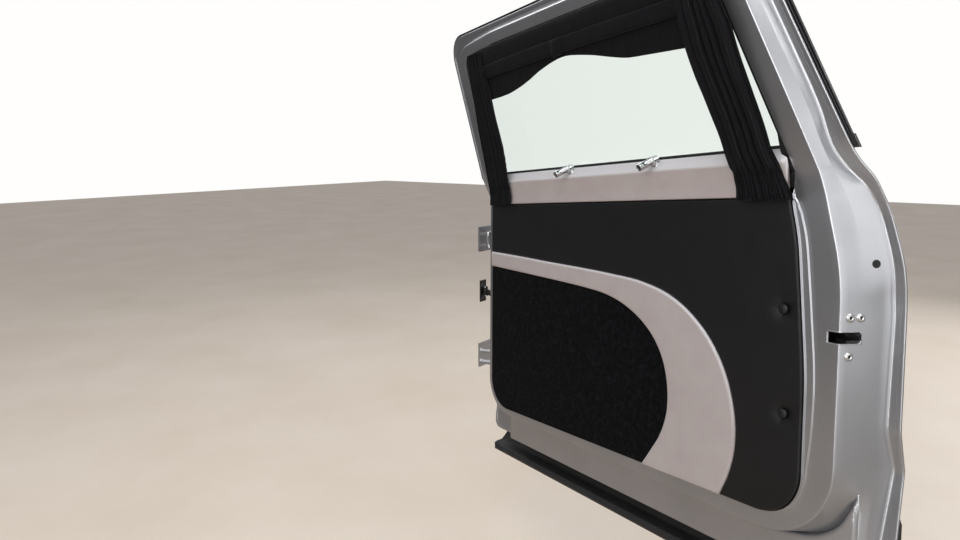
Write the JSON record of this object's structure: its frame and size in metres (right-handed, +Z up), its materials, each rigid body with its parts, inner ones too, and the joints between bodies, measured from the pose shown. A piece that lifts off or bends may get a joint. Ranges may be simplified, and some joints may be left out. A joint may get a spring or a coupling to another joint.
{
  "type": "hearse rear side door",
  "caption": "Right-hand rear side door of a hearse with leaning window frame, curtained window, leather and carpet trim, latch, hinges and door check, shown open.",
  "frame": {"origin": "centre of the two bolt holes of the upper body-side hinge leaf, on its face against the pillar", "axes": "+X to the vehicle's front, +Y inboard, +Z up; the door is stored swung open by 67.6 degrees"},
  "size_m": [0.5699, 1.258, 1.2926],
  "materials": {
    "paint": "satin metallic",
    "leather_black": "grained",
    "leather_grey": "grained",
    "carpet": "cut pile",
    "curtain_cloth": "dull, gathered",
    "chrome": "polished",
    "glass": "clear, slightly green",
    "rubber": "matt",
    "black_trim": "gloss",
    "black_plastic": "grained",
    "zinc": "satin zinc",
    "dark_steel": "phosphated"
  },
  "bodies": {
    "pillar_side": {"check_bracket": "dark_steel", "check_pin": "zinc", "upper_hinge_body_leaf": "paint", "upper_hinge_pin": "zinc", "lower_hinge_body_leaf": "paint", "lower_hinge_pin": "zinc"},
    "door": {"inner_panel": "paint", "outer_skin": "paint", "frame_outer": "paint", "window_glass": "glass", "glass_run_seal": "rubber", "surround_moulding": "black_trim", "moulding_end_caps": "black_plastic", "belt_moulding": "black_plastic", "belt_seal": "rubber", "trim_panel": "leather_black", "crescent_trim": "leather_grey", "carpet_insert": "carpet", "belt_ledge": "leather_grey", "front_curtain": "curtain_cloth", "rear_curtain": "curtain_cloth", "curtain_header": "curtain_cloth", "curtain_valance": "curtain_cloth", "valance_strap": "curtain_cloth", "latch_body": "dark_steel", "latch_fork": "dark_steel", "latch_screws": "zinc", "edge_plug": "black_plastic", "sill_cladding": "black_plastic", "handle_base": "black_plastic", "handle_grip": "paint", "check_plate": "black_plastic", "trim_button_upper": "leather_black", "trim_button_lower": "leather_black", "ledge_socket_front": "chrome", "ledge_socket_rear": "chrome", "upper_hinge_door_leaf": "paint", "lower_hinge_door_leaf": "paint"},
    "check_arm": {"check_arm": "dark_steel"}
  },
  "joints": [
    {"name": "door_swing", "type": "hinge", "parent": "pillar_side", "child": "door", "pos_m": [-0.044, -0.05, -0.18916], "axis": [0, 0.0941, 0.9956], "range_deg": [-67.6, 0]},
    {"name": "check_swing", "type": "hinge", "parent": "pillar_side", "child": "check_arm", "pos_m": [-0.01706, -0.00073, -0.16368], "axis": [0, 0.0941, 0.9956], "range_deg": [-33.8, 0]}
  ],
  "couplings": [
    {"joint": "check_swing", "follows": "door_swing", "ratio": 0.5}
  ]
}
